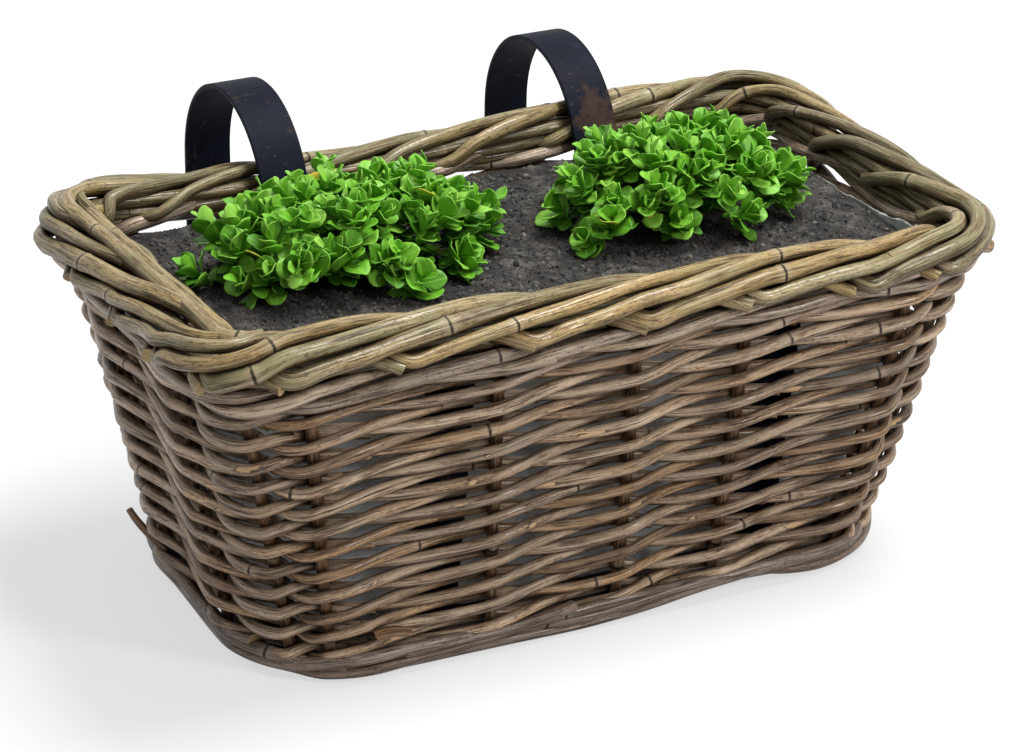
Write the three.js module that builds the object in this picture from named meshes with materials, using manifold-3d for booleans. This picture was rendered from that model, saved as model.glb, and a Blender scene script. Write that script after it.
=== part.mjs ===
// A balcony planter basket: a tapered rattan trough in a paired weave with a rolled border,
// carried by two flat steel hangers, and holding a liner bag of soil with two low plants.
// Lengths are in millimetres. +X runs along the front wall, +Y points back to the rail, +Z up.
import * as THREE from "three";
import { mergeVertices } from "three/addons/utils/BufferGeometryUtils.js";
import Module from "manifold-3d";

const wasm = await Module();
wasm.setup();

// Woven wall, measured over its outer faces
const rimLength = 499;
const rimWidth = 283;
const rimCornerRadius = 48;
const footLength = 423;
const footWidth = 237;
const footCornerRadius = 75;
const wallHeight = 199.5;

// Rattan rods
const stakeDiameter = 7;
const weaverDiameter = 6.4;
const waleDiameter = 7.4;
const footDiameter = 9.6;
const footFlat = 0.5;
const rodClearance = 0.3;
const depthClearance = 0.5;
const waleClearance = 2;
const walePassing = 0.4;
const rowGap = 0.8;
const rodSides = 5;

// Depth and height of a rod at each half step between stakes, as shares of its row's depth and rise.
// A weaver passes outside one stake and inside the next, a wale rod outside two and inside the third.
const weaverStepShares = [[1, 0], [0, 1], [-1, 0], [0, -1]];
const waleStepShares = [[1, -1], [1, 0], [1, 1], [0, 1], [-1, 0], [0, -1]];

// Rolled border: each stake bends over and winds round the rim past its next two neighbours
const borderDiameter = 9.8;
const borderTipDiameter = 7.6;
const borderWindRadius = 11;
const borderRise = 9;
const borderElbowShare = 0.45;
const borderStationShares = [0.12, 0.35, 0.65, 1, 1.3, 1.55, 1.8];

// Places of the stakes, as shares of a quarter of the wall's middle line, from the middle of a long wall
const rightRimShares = [0.03, 0.232, 0.54, 0.645, 0.84];
const rightFootShares = [0.043, 0.27, 0.59, 0.665, 0.85];
const leftRimShares = [0.215, 0.54, 0.645, 0.84];
const leftFootShares = [0.245, 0.59, 0.665, 0.85];
const stakeTipHeight = 3;
const stakeMiddleShare = 0.5;
const seamShare = 0.02;
const seamStagger = 2;
const cornerStationShare = 0.75;
const quarters = 4;
const halfTurn = quarters / 2;
const quarterTurn = halfTurn / 2;

// Base mat of lengthwise rods on three short cross sticks
const matRodDiameter = 10;
const matRodOverlap = 1;
const matClearance = 0.5;
const stickDiameter = 6.8;
const stickSpacing = 58;

// Flat steel hangers
const hangerWidth = 30;
const hangerThickness = 3;
const hangerSpacing = 210;
const hangerOffset = 6;
const hangerBendRadius = 7;
const hangerFootGap = 4.4;
const hangerFrontGap = 1;
const hangerFrontDrop = 43.4;
const hookRadius = 63;
const hookDrop = 38.8;
const hookLegLength = 73.6;
const hookSegments = 15;
const bendSegments = 3;

// Liner bag, soil and plants
const linerThickness = 1.6;
const linerDrop = 20.4;
const linerClearance = 0.4;
const linerFold = 5;
const soilDrop = 11;
const soilSwell = 3;
const soilSwellLength = 118;
const soilSwellWidth = 96;
const soilStep = 41;
const contentClearance = 0.3;
const plantSpace = 30;
const plantSpaceX = 13;
const leftPlant = { endGap: 27.4, width: 132, height: 56, y: 18, turn: 0.6 };
const rightPlant = { endGap: 23.4, width: 122, height: 60, y: 2, turn: 2.4 };
const plantProfileShares = [
  [0, -0.15],
  [0.86, -0.15],
  [1, 0.22],
  [0.95, 0.5],
  [0.76, 0.79],
  [0.46, 0.95],
  [0, 1],
];
const plantSides = 16;
const plantLobes = 5;
const plantLobeShare = 0.06;

// Depths of the rods from the wall's middle surface, and how far two rods rise and dip where they cross
const weaveDepth = (stakeDiameter + weaverDiameter) / 2 + depthClearance;
const waleDepth = (stakeDiameter + waleDiameter) / 2 + waleClearance;
const footDepth = (stakeDiameter + footDiameter) / 2 + depthClearance;
const wallDepth = weaveDepth + weaverDiameter / 2;
const borderReach = borderWindRadius + borderDiameter / 2;
const weaveRise = crossingRise(weaverDiameter, weaveDepth);
const waleRise = crossingRise(waleDiameter, waleDepth) + walePassing;

// Heights of the rows
const footTop = footDiameter - footFlat;
const borderHeight = wallHeight + borderRise;
const borderTop = borderHeight + borderReach;
const waleHeight = borderHeight - (borderDiameter + waleDiameter) / 2 - rodClearance - waleRise;
const weaveHalf = weaveRise + weaverDiameter / 2;
const waleHalf = waleRise + waleDiameter / 2;
const firstRow = footTop + rodClearance + weaveHalf;
const lastRow = waleHeight - waleHalf - rodClearance - weaveHalf;
const rowSteps = Math.floor((lastRow - firstRow) / (2 * weaveHalf + rowGap));
const rowPitch = (lastRow - firstRow) / rowSteps;

// Heights measured down from the border's top
const hangerFrontHeight = borderTop - hangerFrontDrop;
const hookHeight = borderTop - hookDrop;
const hookEndHeight = hookHeight - hookLegLength;
const linerHeight = borderTop - linerDrop;
const soilHeight = linerHeight - soilDrop;

// Two rods that swap depth along a straight slant keep their clearance with this rise
function crossingRise(diameter, depth) {
  const reach = diameter + rodClearance;
  return reach / 2 / Math.sqrt(1 - (reach / depth / 2) ** 2);
}

// Stakes counted anticlockwise from above, starting right of the front's middle
const rimTurns = [
  ...rightRimShares,
  ...rightRimShares.map((share) => halfTurn - share).reverse(),
  ...leftRimShares.map((share) => halfTurn + share),
  ...leftRimShares.map((share) => quarters - share).reverse(),
];
const footTurns = [
  ...rightFootShares,
  ...rightFootShares.map((share) => halfTurn - share).reverse(),
  ...leftFootShares.map((share) => halfTurn + share),
  ...leftFootShares.map((share) => quarters - share).reverse(),
];
const stakeCount = rimTurns.length;

// Half sizes of the wall's middle surface at a height
function wallAt(height) {
  const share = height / wallHeight;
  return {
    length: THREE.MathUtils.lerp(footLength, rimLength, share) / 2 - wallDepth,
    width: THREE.MathUtils.lerp(footWidth, rimWidth, share) / 2 - wallDepth,
    radius: THREE.MathUtils.lerp(footCornerRadius, rimCornerRadius, share) - wallDepth,
  };
}

// Point at a depth outside the wall's middle surface; turn counts quarters from the front's middle
function wallPoint(turn, height, depth) {
  const wall = wallAt(height);
  const straight = wall.length - wall.radius;
  const arc = (wall.radius * Math.PI) / 2;
  const end = wall.width - wall.radius;
  const place = THREE.MathUtils.euclideanModulo(turn, quarters);
  const share = [place, halfTurn - place, place - halfTurn, quarters - place][Math.floor(place)];
  const side = place < halfTurn ? 1 : -1;
  const face = place < quarterTurn || place >= quarters - quarterTurn ? -1 : 1;
  const run = share * (straight + arc + end);
  const angle = THREE.MathUtils.clamp((run - straight) / wall.radius, 0, Math.PI / 2);
  const alongFront = Math.min(run, straight);
  const alongEnd = end - Math.max(run - straight - arc, 0);
  const x = alongFront + (wall.radius + depth) * Math.sin(angle);
  const y = alongEnd + (wall.radius + depth) * Math.cos(angle);
  return new THREE.Vector3(side * x, face * y, height);
}

// Turn of a stake at a height; a fractional index lies between two stakes
function stakeTurn(index, height) {
  const turnOf = (whole) => {
    const wrapped = THREE.MathUtils.euclideanModulo(whole, stakeCount);
    const laps = (whole - wrapped) / stakeCount;
    const share = height / wallHeight;
    return THREE.MathUtils.lerp(footTurns[wrapped], rimTurns[wrapped], share) + laps * quarters;
  };
  const before = Math.floor(index);
  return THREE.MathUtils.lerp(turnOf(before), turnOf(before + 1), index - before);
}

// A path given by its stations, with the rod's radius at each of them
class RodPath extends THREE.Curve {
  constructor(stations, radii) {
    super();
    this.stations = stations;
    this.radii = radii;
  }

  getPointAt(share) {
    return this.stations[Math.round(share * (this.stations.length - 1))].clone();
  }

  getTangentAt(share) {
    const at = Math.round(share * (this.stations.length - 1));
    const here = this.stations[at];
    const tangent = new THREE.Vector3();
    if (at > 0) tangent.add(here.clone().sub(this.stations[at - 1]).normalize());
    if (at < this.stations.length - 1) tangent.add(this.stations[at + 1].clone().sub(here).normalize());
    return tangent.normalize();
  }

  computeFrenetFrames(segments, closed) {
    const frames = super.computeFrenetFrames(segments, closed);
    frames.normals.forEach((normal, at) => normal.multiplyScalar(this.radii[at]));
    frames.binormals.forEach((binormal, at) => binormal.multiplyScalar(this.radii[at]));
    return frames;
  }
}

// A rod swept along its stations, round in as many sides as given
function rod(stations, radii, sides) {
  const section = new THREE.Shape();
  for (let side = 0; side < sides; side++) {
    const angle = (2 * Math.PI * side) / sides;
    section[side ? "lineTo" : "moveTo"](Math.cos(angle), Math.sin(angle));
  }
  const extrudePath = new RodPath(stations, radii);
  return new THREE.ExtrudeGeometry(section, { extrudePath, steps: stations.length - 1 });
}

function evenRod(stations, diameter, sides) {
  return rod(stations, stations.map(() => diameter / 2), sides);
}

// Joining and cutting of closed meshes
function toSolid(geometry) {
  const bare = geometry.clone();
  bare.deleteAttribute("normal");
  bare.deleteAttribute("uv");
  const merged = mergeVertices(bare);
  return new wasm.Manifold(
    new wasm.Mesh({
      numProp: 3,
      vertProperties: merged.attributes.position.array,
      triVerts: new Uint32Array(merged.index.array),
    }),
  );
}

function toGeometry(solid) {
  const mesh = solid.getMesh();
  const geometry = new THREE.BufferGeometry();
  geometry.setAttribute("position", new THREE.BufferAttribute(mesh.vertProperties, mesh.numProp));
  geometry.setIndex(new THREE.BufferAttribute(mesh.triVerts, 1));
  geometry.computeVertexNormals();
  return geometry;
}

function block(length, width, height, x, y, z) {
  return toSolid(new THREE.BoxGeometry(length, width, height).translate(x, y, z));
}

// Materials
const rattan = (color) => new THREE.MeshStandardMaterial({ color, roughness: 0.55, metalness: 0 });
const weaverColors = [0x6f5c49, 0x7d674c, 0x655548, 0x80705a];
const stakeColor = 0x7a5c3c;
const borderColor = 0x857349;
const footColor = 0x5d5048;
const steel = new THREE.MeshStandardMaterial({ color: 0x23262c, roughness: 0.5, metalness: 0.6 });
const film = new THREE.MeshStandardMaterial({ color: 0x6d747b, roughness: 0.3, metalness: 0 });
const earth = new THREE.MeshStandardMaterial({ color: 0x332d2a, roughness: 1, metalness: 0 });
const leaf = new THREE.MeshStandardMaterial({ color: 0x4f9a28, roughness: 0.5, metalness: 0 });

const planter = new THREE.Group();

function addPiece(name, geometry, material) {
  const mesh = new THREE.Mesh(geometry, material);
  mesh.name = name;
  planter.add(mesh);
  return mesh;
}

// Stations of a ring of rod: every stake, every crossing, and one more on each corner's long side
const cornerIndex = rightRimShares.length - 1;
const lastQuarter = stakeCount - leftRimShares.length;
const ringIndices = [
  ...Array.from({ length: 2 * stakeCount }, (_, half) => half / 2),
  cornerIndex - cornerStationShare,
  cornerIndex + 1 + cornerStationShare,
  lastQuarter - 1 - cornerStationShare,
  lastQuarter + cornerStationShare,
].sort((a, b) => a - b);

// Whether a station lies between the stakes that stand round a corner
function turnsCorner(index) {
  const place = THREE.MathUtils.euclideanModulo(stakeTurn(index, 0), halfTurn);
  const fromEnd = Math.abs(place - quarterTurn);
  const [first, last] = [rightFootShares[1], rightFootShares[cornerIndex]];
  return fromEnd > quarterTurn - last && fromEnd < quarterTurn - first;
}

function ringFrom(seam) {
  const inner = ringIndices
    .map((index) => (index > seam ? index : index + stakeCount))
    .filter((index) => index !== seam + stakeCount)
    .sort((a, b) => a - b);
  return [seam + seamShare, ...inner, seam + stakeCount - seamShare];
}

// One strand of a row; it starts its steps at the stake that which gives.
// It swings wider round a stake that it meets at a steep slant.
function strand(height, depth, rise, stepShares, which, seam) {
  const indices = ringFrom(seam);
  const place = (index, swing) => {
    const step = 2 * (index - which);
    const before = stepShares[THREE.MathUtils.euclideanModulo(Math.floor(step), stepShares.length)];
    const after = stepShares[THREE.MathUtils.euclideanModulo(Math.floor(step) + 1, stepShares.length)];
    const out = THREE.MathUtils.lerp(before[0], after[0], step - Math.floor(step));
    const up = THREE.MathUtils.lerp(before[1], after[1], step - Math.floor(step));
    return wallPoint(stakeTurn(index, height), height + rise * up, swing * depth * out);
  };
  const plain = indices.map((index) => place(index, 1));
  return indices.map((index, at) => {
    if (!Number.isInteger(index)) return plain[at];
    const away = plain[at].clone().sub(wallPoint(stakeTurn(index, height), plain[at].z, 0)).normalize();
    const slants = [at - 1, at + 1].map((next) => plain[next].clone().sub(plain[at]).normalize());
    return place(index, 1 / Math.min(...slants.map((slant) => away.clone().cross(slant).length())));
  });
}

// Weave: paired rows up the wall, their ends tucked inside the rear stakes
const rearStake = rightRimShares.length + 2;
for (let row = 0; row <= rowSteps; row++) {
  for (const which of [0, 1]) {
    const height = firstRow + row * rowPitch;
    const seam = rearStake + which + seamStagger * (row % seamStagger);
    const stations = strand(height, weaveDepth, weaveRise, weaverStepShares, which, seam);
    const name = "weaver_" + String(row + 1).padStart(2, "0") + "ab"[which];
    const color = weaverColors[(row + 2 * which) % weaverColors.length];
    addPiece(name, evenRod(stations, weaverDiameter, rodSides), rattan(color));
  }
}

// Wale: three thicker rods under the border, which follow each other a stake apart
for (const which of [0, 1, 2]) {
  const stations = strand(waleHeight, waleDepth, waleRise, waleStepShares, which, rearStake + which);
  addPiece("wale_" + "abc"[which], evenRod(stations, waleDiameter, rodSides), rattan(borderColor));
}

// Foot: a rod on each side of the stakes, worn flat where it stands
function footRing(name, depth, seam) {
  const height = footDiameter / 2 - footFlat;
  const stations = ringFrom(seam)
    .filter((index) => turnsCorner(index) || Number.isInteger(index) || index % (1 / 2))
    .map((index) => wallPoint(stakeTurn(index, height), height, depth));
  const ring = toSolid(evenRod(stations, footDiameter, rodSides));
  const above = block(footLength, footWidth, footDiameter, 0, 0, footDiameter / 2);
  addPiece(name, toGeometry(ring.intersect(above)), rattan(footColor));
}
footRing("foot_outer", footDepth, rearStake);
footRing("foot_inner", -footDepth, rearStake + 1);

// Stakes: up through the weave at the middle surface, then over into the border
for (let stake = 0; stake < stakeCount; stake++) {
  const heights = [stakeTipHeight, stakeMiddleShare * waleHeight, waleHeight];
  const stations = heights.map((height) => wallPoint(stakeTurn(stake, height), height, 0));
  const radii = heights.map(() => stakeDiameter / 2);
  const elbowDepth = borderWindRadius * borderElbowShare;
  const elbowDiameter = (stakeDiameter + borderDiameter) / 2;
  stations.push(wallPoint(stakeTurn(stake, wallHeight), wallHeight, 0));
  radii.push(stakeDiameter / 2);
  stations.push(wallPoint(stakeTurn(stake + seamShare, wallHeight), borderHeight, elbowDepth));
  radii.push(elbowDiameter / 2);
  const lastShare = borderStationShares.at(-1);
  for (const share of borderStationShares) {
    const angle = (share * Math.PI) / 2;
    const level = borderHeight + borderWindRadius * Math.sin(angle);
    const turn = stakeTurn(stake + share, wallHeight);
    stations.push(wallPoint(turn, level, borderWindRadius * Math.cos(angle)));
    radii.push(share < lastShare ? borderDiameter / 2 : borderTipDiameter / 2);
  }
  addPiece("stake_" + String(stake + 1).padStart(2, "0"), rod(stations, radii, rodSides), rattan(stakeColor));
}

// Hangers: one strip from the front wall, under the mat, up the rear wall and over the rail.
// The arch of the hook bears on the border.
const matBottom = footTop + rodClearance;
const matWall = wallAt(matBottom);
const borderMiddle = wallAt(borderHeight).width;
const hookReach = hookRadius - hangerThickness / 2 - rodClearance - borderReach;
const hangerFootY = matWall.width - wallDepth - hangerFootGap - hangerThickness / 2;
const hangerFootZ = matBottom - rodClearance - hangerThickness / 2;
const hookCentreY = borderMiddle + Math.sqrt(hookReach ** 2 - (borderHeight - hookHeight) ** 2);
const hangerRearY = hookCentreY - hookRadius;
const frontWall = wallAt(hangerFrontHeight).width - wallDepth;
const hangerFrontY = frontWall - hangerFrontGap - hangerThickness / 2;

// Rounds the corner between the floor run and a leg; side is -1 at the front and 1 at the rear
function hangerBend(side) {
  const points = [];
  for (let step = 0; step <= bendSegments; step++) {
    const angle = (Math.PI / 2) * (step / bendSegments);
    points.push([
      side * (hangerFootY - hangerBendRadius * (1 - Math.sin(angle))),
      hangerFootZ + hangerBendRadius * (1 - Math.cos(angle)),
    ]);
  }
  return points;
}

function hangerLine() {
  const points = [[-hangerFrontY, hangerFrontHeight], ...hangerBend(-1).reverse(), ...hangerBend(1)];
  for (let step = 0; step <= hookSegments; step++) {
    const angle = Math.PI * (1 - step / hookSegments);
    points.push([hookCentreY + hookRadius * Math.cos(angle), hookHeight + hookRadius * Math.sin(angle)]);
  }
  points.push([hookCentreY + hookRadius, hookEndHeight]);
  return points.map(([y, z]) => new THREE.Vector2(y, z));
}

// A strip of even thickness about a line of points
function stripOutline(line, thickness) {
  const shift = (at, side) => {
    const before = line[Math.max(at - 1, 0)];
    const after = line[Math.min(at + 1, line.length - 1)];
    const first = line[at].clone().sub(before).normalize();
    const second = after.clone().sub(line[at]).normalize();
    const along = first.clone().add(second).normalize();
    const cosine = Math.max(along.dot(first), along.dot(second));
    const reach = (side * thickness) / 2 / cosine;
    return new THREE.Vector2(line[at].x - along.y * reach, line[at].y + along.x * reach);
  };
  const left = line.map((_, at) => shift(at, 1));
  const right = line.map((_, at) => shift(at, -1));
  return new THREE.Shape([...left, ...right.reverse()]);
}

const profileToSide = new THREE.Matrix4().makeBasis(
  new THREE.Vector3(0, 1, 0),
  new THREE.Vector3(0, 0, 1),
  new THREE.Vector3(1, 0, 0),
);
const hangerX = [hangerOffset - hangerSpacing / 2, hangerOffset + hangerSpacing / 2];
const hangerShape = stripOutline(hangerLine(), hangerThickness);
["hanger_left", "hanger_right"].forEach((name, at) => {
  const strip = new THREE.ExtrudeGeometry(hangerShape, { depth: hangerWidth, bevelEnabled: false });
  strip.applyMatrix4(profileToSide);
  addPiece(name, strip, steel).position.x = hangerX[at] - hangerWidth / 2;
});

// Rounded rectangle of the wall's middle line at a height, drawn in by an inset
function roundedOutline(wall, inset) {
  const length = wall.length - inset;
  const width = wall.width - inset;
  const radius = wall.radius - inset;
  const shape = new THREE.Shape();
  shape.absarc(length - radius, -width + radius, radius, -Math.PI / 2, 0);
  shape.absarc(length - radius, width - radius, radius, 0, Math.PI / 2);
  shape.absarc(-length + radius, width - radius, radius, Math.PI / 2, Math.PI);
  shape.absarc(-length + radius, -width + radius, radius, Math.PI, (Math.PI * 3) / 2);
  return shape;
}

// Base mat: lengthwise rods side by side, trimmed to the floor's outline and let past the hangers
function baseMat() {
  const pitch = matRodDiameter - matRodOverlap;
  const halfWidth = matWall.width - wallDepth - matClearance;
  const count = Math.ceil((2 * halfWidth) / pitch);
  const radius = matRodDiameter / 2;
  const cusp = Math.asin(Math.sqrt(1 - (pitch / matRodDiameter) ** 2));
  const crown = (side) => {
    const points = [];
    for (let at = 0; at < count; at++) {
      const y = (at - (count - 1) / 2) * pitch;
      for (const angle of [Math.PI - cusp, (Math.PI * 2) / 3, Math.PI / 3]) {
        points.push([y + radius * Math.cos(angle), side * radius * Math.sin(angle)]);
      }
    }
    return points;
  };
  const top = crown(1);
  const bottom = crown(-1).reverse();
  const outline = [...top, ...bottom].map(([y, z]) => new THREE.Vector2(y, z));
  const section = new THREE.Shape(outline);
  const rods = new THREE.ExtrudeGeometry(section, { depth: footLength, bevelEnabled: false });
  rods.applyMatrix4(profileToSide).translate(-footLength / 2, 0, matBottom + radius);
  const cutHeight = 2 * (matBottom + matRodDiameter);
  const trim = new THREE.ExtrudeGeometry(roundedOutline(matWall, wallDepth + matClearance), {
    depth: cutHeight,
    bevelEnabled: false,
    curveSegments: bendSegments,
  });
  let mat = toSolid(rods).intersect(toSolid(trim));
  const slotWidth = hangerWidth + 2 * matClearance;
  const slotDepth = matWall.width - hangerFootY + hangerBendRadius;
  for (const x of hangerX) {
    for (const side of [-1, 1]) {
      const y = side * (matWall.width - slotDepth / 2);
      mat = mat.subtract(block(slotWidth, slotDepth, cutHeight, x, y, cutHeight / 2));
    }
  }
  return toGeometry(mat);
}
addPiece("base_mat", baseMat(), rattan(footColor));

const stickZ = matBottom - rodClearance - stickDiameter / 2;
const stickHalf = matWall.width - footDepth - footDiameter / 2 - depthClearance;
["base_stick_left", "base_stick_middle", "base_stick_right"].forEach((name, at) => {
  const x = hangerOffset + (at - 1) * stickSpacing;
  const ends = [new THREE.Vector3(x, -stickHalf, stickZ), new THREE.Vector3(x, stickHalf, stickZ)];
  addPiece(name, evenRod(ends, stickDiameter, rodSides), rattan(stakeColor));
});

// Face of a hanger that looks into the basket, as a distance from the middle, at a height
function hangerInnerFace(side, height) {
  const top = side < 0 ? hangerFrontHeight : hookHeight;
  const topY = side < 0 ? hangerFrontY : hangerRearY;
  const bottom = hangerFootZ + hangerBendRadius;
  const share = (Math.min(height, top) - bottom) / (top - bottom);
  return THREE.MathUtils.lerp(hangerFootY, topY, share) - hangerThickness / 2;
}

// One level of the liner or the soil: the rounded outline with a fold round each hanger
function bagRing(height, inset) {
  const wall = wallAt(height);
  const length = wall.length - borderReach - linerClearance - inset;
  const width = wall.width - borderReach - linerClearance - inset;
  const radius = wall.radius - borderReach - linerClearance - inset;
  const straight = length - radius;
  const half = hangerWidth / 2 + linerClearance + inset;
  const depthAt = (x) => {
    const past = Math.max(Math.abs(x) - straight, 0);
    return width - radius + Math.sqrt(radius ** 2 - past ** 2);
  };
  const corner = (hangerPlace) => {
    const past = Math.max(hangerPlace + half + 2 * linerFold - straight, 0);
    const start = Math.asin(past / radius);
    const points = [];
    for (let step = 0; step <= bendSegments; step++) {
      const angle = THREE.MathUtils.lerp(start, Math.PI / 2, step / bendSegments);
      points.push([straight + radius * Math.sin(angle), width - radius + radius * Math.cos(angle)]);
    }
    return points;
  };
  const wallRun = (wallSide) => {
    const points = [];
    const folded = hangerInnerFace(wallSide, height) - linerClearance - inset;
    for (const x of hangerX) {
      for (const side of [-1, 1]) {
        const fold = [x + side * half, Math.min(depthAt(x + side * half), folded)];
        const outer = x + side * (half + linerFold);
        points.push(...(side < 0 ? [[outer, depthAt(outer)], fold] : [fold, [outer, depthAt(outer)]]));
      }
    }
    return points;
  };
  const rightCorner = corner(hangerX[1]);
  const leftCorner = corner(-hangerX[0]);
  const points = [
    ...wallRun(-1).map(([x, y]) => [x, -y]),
    ...rightCorner.map(([x, y]) => [x, -y]),
    ...rightCorner.map(([x, y]) => [x, y]).reverse(),
    ...wallRun(1).map(([x, y]) => [x, y]).reverse(),
    ...leftCorner.map(([x, y]) => [-x, y]),
    ...leftCorner.map(([x, y]) => [-x, -y]).reverse(),
  ];
  return points.map(([x, y]) => new THREE.Vector3(x, y, height));
}

// A closed body through a stack of rings with as many points each; its faces are split the same way
// on a wall's inside and outside, so that two bodies that share a wall line stay apart
function stack(rings) {
  const count = rings[0].length;
  const positions = rings.flat().flatMap((point) => point.toArray());
  const faces = [];
  for (let level = 0; level < rings.length - 1; level++) {
    for (let at = 0; at < count; at++) {
      const a = level * count + at;
      const b = level * count + ((at + 1) % count);
      const climbs = rings[level + 1][0].z > rings[level][0].z;
      if (climbs) faces.push(a, b, b + count, a, b + count, a + count);
      else faces.push(a, b, a + count, b, b + count, a + count);
    }
  }
  const flat = (ring) => ring.map((point) => new THREE.Vector2(point.x, point.y));
  const last = (rings.length - 1) * count;
  for (const [a, b, c] of THREE.ShapeUtils.triangulateShape(flat(rings[0]), [])) faces.push(c, b, a);
  for (const [a, b, c] of THREE.ShapeUtils.triangulateShape(flat(rings.at(-1)), [])) {
    faces.push(last + a, last + b, last + c);
  }
  const geometry = new THREE.BufferGeometry();
  geometry.setAttribute("position", new THREE.Float32BufferAttribute(positions, 3));
  geometry.setIndex(faces);
  geometry.computeVertexNormals();
  return geometry;
}

const linerBottom = matBottom + matRodDiameter + contentClearance;
const floorHeight = linerBottom + linerThickness;
const linerOutside = [linerBottom, hookHeight, linerHeight].map((height) => bagRing(height, 0));
const linerInside = [linerHeight, soilHeight, hookHeight, floorHeight].map((height) => {
  return bagRing(height, linerThickness);
});
addPiece("liner", stack([...linerOutside, ...linerInside]), film);

// The soil's surface, raised by a rise: shallow swells that come up to the soil's height
function soilGround(rise) {
  const columns = Math.ceil(rimLength / soilStep);
  const rows = Math.ceil(rimWidth / soilStep);
  const ground = new THREE.BoxGeometry(rimLength, rimWidth, soilHeight, columns, rows, 1);
  ground.translate(0, 0, soilHeight / 2);
  const places = ground.attributes.position;
  for (let at = 0; at < places.count; at++) {
    const [x, y, z] = [places.getX(at), places.getY(at), places.getZ(at)];
    const swell = Math.cos((2 * Math.PI * x) / soilSwellLength) * Math.cos((2 * Math.PI * y) / soilSwellWidth);
    if (z > 0) places.setZ(at, z + rise - (soilSwell * (1 - swell)) / 2);
  }
  return toSolid(ground);
}

const soilInset = linerThickness + contentClearance;
const soilLevels = [floorHeight + contentClearance, hookHeight, soilHeight];
const soilBlock = toSolid(stack(soilLevels.map((height) => bagRing(height, soilInset))));
addPiece("soil", toGeometry(soilBlock.intersect(soilGround(0))), earth);

// Plants: low lobed clumps of leaves that sit on the soil, with a space between the two.
// Each reaches from that space to a gap at its own end of the soil; side is -1 at the left and 1 at the right.
const soilHalf = wallAt(soilHeight).length - borderReach - linerClearance - soilInset;
function clump(name, plant, side) {
  const outerEnd = side * (soilHalf - plant.endGap);
  const innerEnd = plantSpaceX + (side * plantSpace) / 2;
  const profile = plantProfileShares.map(([radius, height]) => new THREE.Vector2(radius, height));
  const dome = new THREE.LatheGeometry(profile, plantSides);
  dome.rotateX(Math.PI / 2);
  const places = dome.attributes.position;
  for (let at = 0; at < places.count; at++) {
    const [x, y] = [places.getX(at), places.getY(at)];
    const lobe = 1 + plantLobeShare * Math.sin(plantLobes * Math.atan2(y, x) + plant.turn);
    places.setXY(at, x * lobe, y * lobe);
  }
  dome.scale(Math.abs(outerEnd - innerEnd) / 2, plant.width / 2, plant.height);
  dome.translate((outerEnd + innerEnd) / 2, plant.y, soilHeight);
  addPiece(name, toGeometry(toSolid(dome).subtract(soilGround(contentClearance))), leaf);
}
clump("plant_left", leftPlant, -1);
clump("plant_right", rightPlant, 1);

// The origin lies on the floor, midway between the front of the border and the back of the hooks
const backFace = hookCentreY + hookRadius + hangerThickness / 2;
const frontFace = borderMiddle + borderReach;
planter.position.y = (frontFace - backFace) / 2;

export default planter;
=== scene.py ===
from math import asin, cos, pi, radians, sin, sqrt

import bpy
import numpy as np
from mathutils import Matrix, Vector, noise


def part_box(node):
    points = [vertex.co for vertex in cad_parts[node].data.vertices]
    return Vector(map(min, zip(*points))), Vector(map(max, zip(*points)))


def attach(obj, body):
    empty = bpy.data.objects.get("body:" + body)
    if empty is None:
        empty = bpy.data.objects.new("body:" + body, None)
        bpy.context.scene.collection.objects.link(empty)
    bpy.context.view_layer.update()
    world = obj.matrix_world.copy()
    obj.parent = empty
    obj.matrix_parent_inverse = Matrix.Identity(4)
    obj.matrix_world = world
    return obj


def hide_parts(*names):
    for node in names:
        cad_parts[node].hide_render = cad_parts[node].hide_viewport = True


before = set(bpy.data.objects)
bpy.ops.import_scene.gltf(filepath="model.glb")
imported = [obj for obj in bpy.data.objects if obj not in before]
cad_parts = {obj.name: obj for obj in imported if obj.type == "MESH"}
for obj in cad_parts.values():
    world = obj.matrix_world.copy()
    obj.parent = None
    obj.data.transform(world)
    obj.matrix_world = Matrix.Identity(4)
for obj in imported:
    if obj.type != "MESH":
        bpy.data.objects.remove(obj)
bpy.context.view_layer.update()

scene = bpy.context.scene

# Lengths are in millimetres until a mesh is made. The wall and the rods follow the solids.
MM = 0.001
# Length, width and corner radius of the wall's outside at its top and bottom
RIM = (499.0, 283.0, 48.0)
FOOT = (423.0, 237.0, 75.0)
WALL = 199.5
SHIFT = -43.843
WEAVER_D, WALE_D, FOOT_D = 6.4, 7.4, 9.6
WEAVE_DEPTH, WALE_DEPTH, FOOT_DEPTH, WALL_DEPTH = 7.2, 9.2, 8.8, 10.4
BORDER_R, BORDER_Z, BORDER_D = 11.0, 208.5, 9.8
BORDER_REACH = BORDER_R + BORDER_D / 2
GAP, BAG_GAP = 0.3, 0.4
WEAVE_RISE, WALE_RISE = 3.785, 4.64
WALE_Z = 194.96
FIRST_ROW, ROWS = 16.4, 12
# Stakes of a quarter at the right and the left, in turns, at the rim and at the foot
RIGHT_RIM = [0.03, 0.232, 0.54, 0.645, 0.84]
RIGHT_FOOT = [0.043, 0.27, 0.59, 0.665, 0.85]
LEFT_RIM = [0.215, 0.54, 0.645, 0.84]
LEFT_FOOT = [0.245, 0.59, 0.665, 0.85]


def turns(right, left):
    """The stakes' turns all round, from those of a right and a left quarter."""
    return np.array(right + [2 - s for s in reversed(right)] + [2 + s for s in left] + [4 - s for s in reversed(left)])


RIM_TURNS, FOOT_TURNS = turns(RIGHT_RIM, LEFT_RIM), turns(RIGHT_FOOT, LEFT_FOOT)
STAKES = len(RIM_TURNS)


def wall_at(z):
    s = np.asarray(z, float) / WALL
    return [FOOT[k] * (1 - s) + RIM[k] * s for k in range(3)]


def within(z, less):
    """Half length, half width and corner radius of the wall, less an inset."""
    length, width, radius = wall_at(z)
    return length / 2 - less, width / 2 - less, radius - less


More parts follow.
